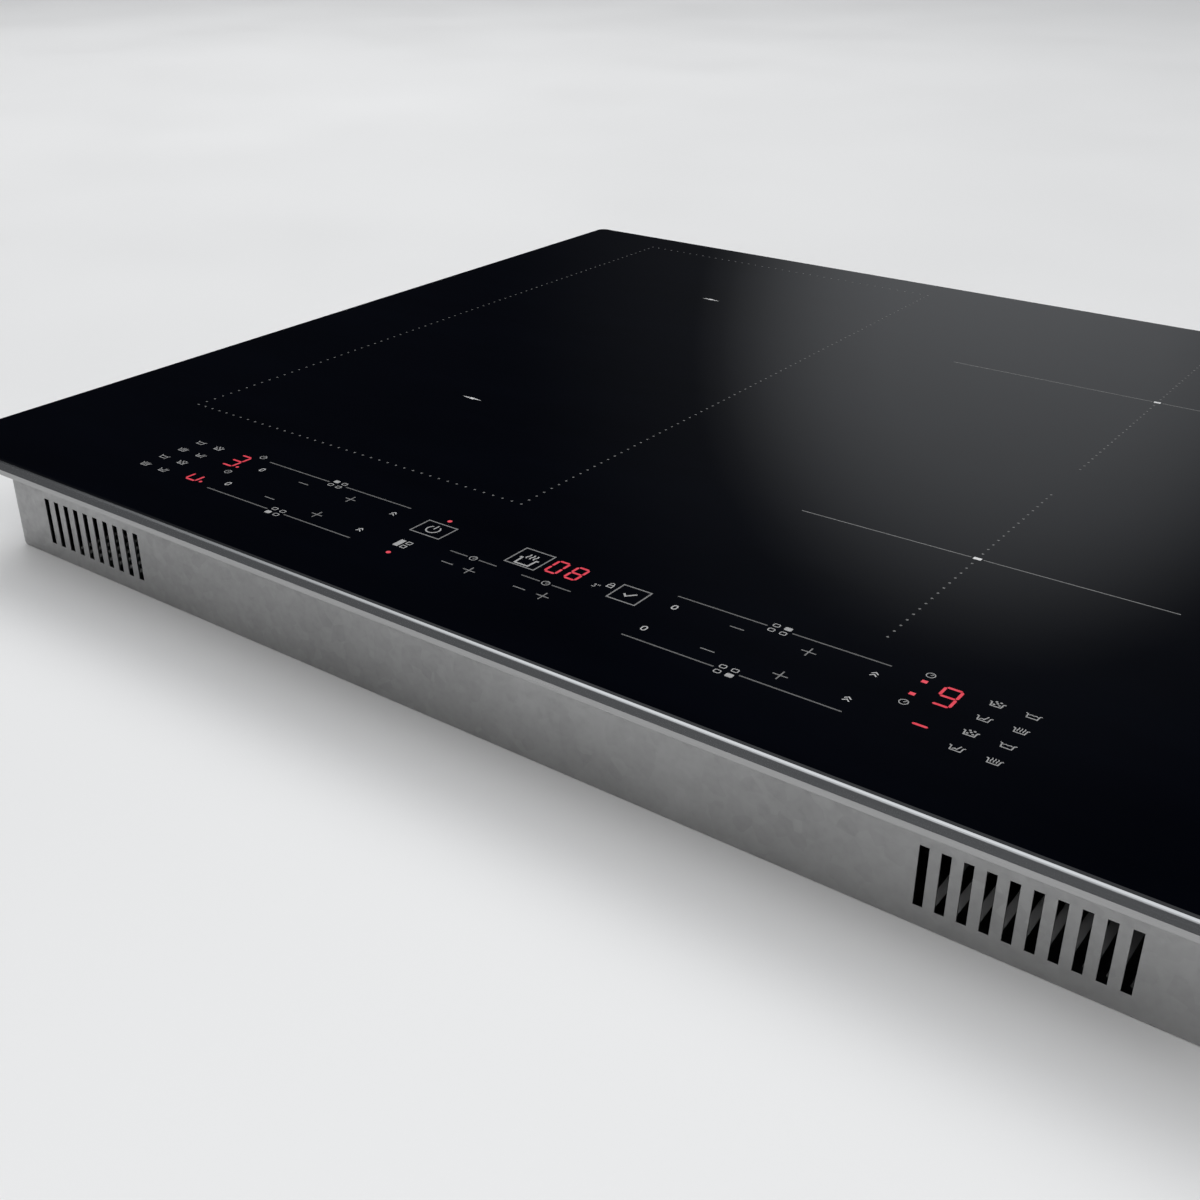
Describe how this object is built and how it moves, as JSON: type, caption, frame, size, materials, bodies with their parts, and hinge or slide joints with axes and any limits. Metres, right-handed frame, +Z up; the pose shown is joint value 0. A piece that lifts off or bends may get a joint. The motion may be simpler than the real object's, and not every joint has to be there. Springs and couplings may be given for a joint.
{
  "type": "built-in induction hob",
  "caption": "Built-in induction cooktop: black glass plate with a metal front trim and touch controls over a vented steel pan, held in a worktop cut-out by side spring clips.",
  "frame": {"origin": "middle of the outline at the underside of the lower pan", "axes": "+X to the right along the front edge, +Y from the front trim to the rear, +Z up through the glass"},
  "size_m": [0.59, 0.51, 0.054],
  "materials": {
    "black_glass": "gloss",
    "trim_metal": "polished lip, satin face",
    "foam_seal": "matt closed-cell foam",
    "silicone": "satin",
    "zinc_rail": "zinc plated",
    "zinc_pan": "galvanised sheet",
    "screw_steel": "zinc plated",
    "spring_steel": "bright spring steel",
    "plate_aluminium": "mill finish",
    "former_plastic": "matt glass-filled plastic",
    "litz_copper": "varnished copper",
    "mica": "satin mica sheet",
    "circuit_board": "solder-masked board",
    "heatsink_aluminium": "extruded",
    "package_plastic": "moulded",
    "capacitor_plastic": "moulded",
    "tray_plastic": "moulded",
    "fan_housing_plastic": "moulded",
    "fan_rotor_plastic": "moulded",
    "motor_metal": "plated",
    "ferrite": "sintered",
    "sensor_ceramic": "unglazed",
    "lead_sleeve": "glass-fibre sleeve",
    "spacer_plastic": "nylon",
    "choke_copper": "varnished copper",
    "relay_plastic": "moulded",
    "carrier_plastic": "moulded",
    "touch_foam": "conductive foam",
    "display_plastic": "moulded",
    "terminal_plastic": "moulded",
    "terminal_block_plastic": "moulded",
    "terminal_brass": "plated",
    "gland_plastic": "moulded"
  },
  "bodies": {
    "hob": {"board_screws": "screw_steel", "board_spacers": "spacer_plastic", "board_tray_left": "tray_plastic", "board_tray_right": "tray_plastic", "bonding_bead": "silicone", "cable_gland": "gland_plastic", "case_screws": "screw_steel", "coil_former_left_front": "former_plastic", "coil_former_left_rear": "former_plastic", "coil_former_right_front": "former_plastic", "coil_former_right_rear": "former_plastic", "coil_leads": "lead_sleeve", "coil_plate_left": "plate_aluminium", "coil_plate_right": "plate_aluminium", "coil_winding_left_front": "litz_copper", "coil_winding_left_rear": "litz_copper", "coil_winding_right_front": "litz_copper", "coil_winding_right_rear": "litz_copper", "display_modules": "display_plastic", "fan_housing_left": "fan_housing_plastic", "fan_housing_right": "fan_housing_plastic", "fan_motor_left": "motor_metal", "fan_motor_right": "motor_metal", "ferrite_bars": "ferrite", "film_capacitors_left": "capacitor_plastic", "film_capacitors_right": "capacitor_plastic", "filter_board": "circuit_board", "filter_choke": "choke_copper", "front_trim": "trim_metal", "glass_top": "black_glass", "heatsink_left": "heatsink_aluminium", "heatsink_right": "heatsink_aluminium", "insulation_sheet_left": "mica", "insulation_sheet_right": "mica", "lower_pan": "zinc_pan", "plate_springs": "spring_steel", "power_board_left": "circuit_board", "power_board_right": "circuit_board", "power_transistors_left": "package_plastic", "power_transistors_right": "package_plastic", "rail_front": "zinc_rail", "rail_left": "zinc_rail", "rail_rear": "zinc_rail", "rail_right": "zinc_rail", "relays": "relay_plastic", "temperature_sensors": "sensor_ceramic", "terminal_block": "terminal_block_plastic", "terminal_box": "terminal_plastic", "terminal_screws": "terminal_brass", "touch_pads": "touch_foam", "ui_board": "circuit_board", "ui_carrier": "carrier_plastic", "worktop_seal": "foam_seal"},
    "fan_left": {"fan_rotor_left": "fan_rotor_plastic"},
    "fan_right": {"fan_rotor_right": "fan_rotor_plastic"},
    "terminal_flap": {"terminal_cover": "terminal_plastic"},
    "clip_front_left": {"spring_clip_front_left": "spring_steel"},
    "clip_front_right": {"spring_clip_front_right": "spring_steel"},
    "clip_rear_left": {"spring_clip_rear_left": "spring_steel"},
    "clip_rear_right": {"spring_clip_rear_right": "spring_steel"}
  },
  "joints": [
    {"name": "fan_left_spin", "type": "hinge", "parent": "hob", "child": "fan_left", "pos_m": [-0.215, 0.165, 0.01], "axis": [0, 0, 1], "continuous": true},
    {"name": "fan_right_spin", "type": "hinge", "parent": "hob", "child": "fan_right", "pos_m": [0.215, 0.165, 0.01], "axis": [0, 0, 1], "continuous": true},
    {"name": "clip_front_left_flex", "type": "hinge", "parent": "hob", "child": "clip_front_left", "pos_m": [-0.27465, -0.15, 0.0133], "axis": [0, 1, 0], "range_deg": [0, 6], "stiffness_Nm_per_rad": 4},
    {"name": "clip_front_right_flex", "type": "hinge", "parent": "hob", "child": "clip_front_right", "pos_m": [0.27465, -0.15, 0.0133], "axis": [0, -1, 0], "range_deg": [0, 6], "stiffness_Nm_per_rad": 4},
    {"name": "clip_rear_left_flex", "type": "hinge", "parent": "hob", "child": "clip_rear_left", "pos_m": [-0.27465, 0.15, 0.0133], "axis": [0, 1, 0], "range_deg": [0, 6], "stiffness_Nm_per_rad": 4},
    {"name": "clip_rear_right_flex", "type": "hinge", "parent": "hob", "child": "clip_rear_right", "pos_m": [0.27465, 0.15, 0.0133], "axis": [0, -1, 0], "range_deg": [0, 6], "stiffness_Nm_per_rad": 4},
    {"name": "terminal_cover_swing", "type": "hinge", "parent": "hob", "child": "terminal_flap", "pos_m": [0, 0.2373, 0.0042], "axis": [-1, 0, 0], "range_deg": [0, 95]}
  ]
}
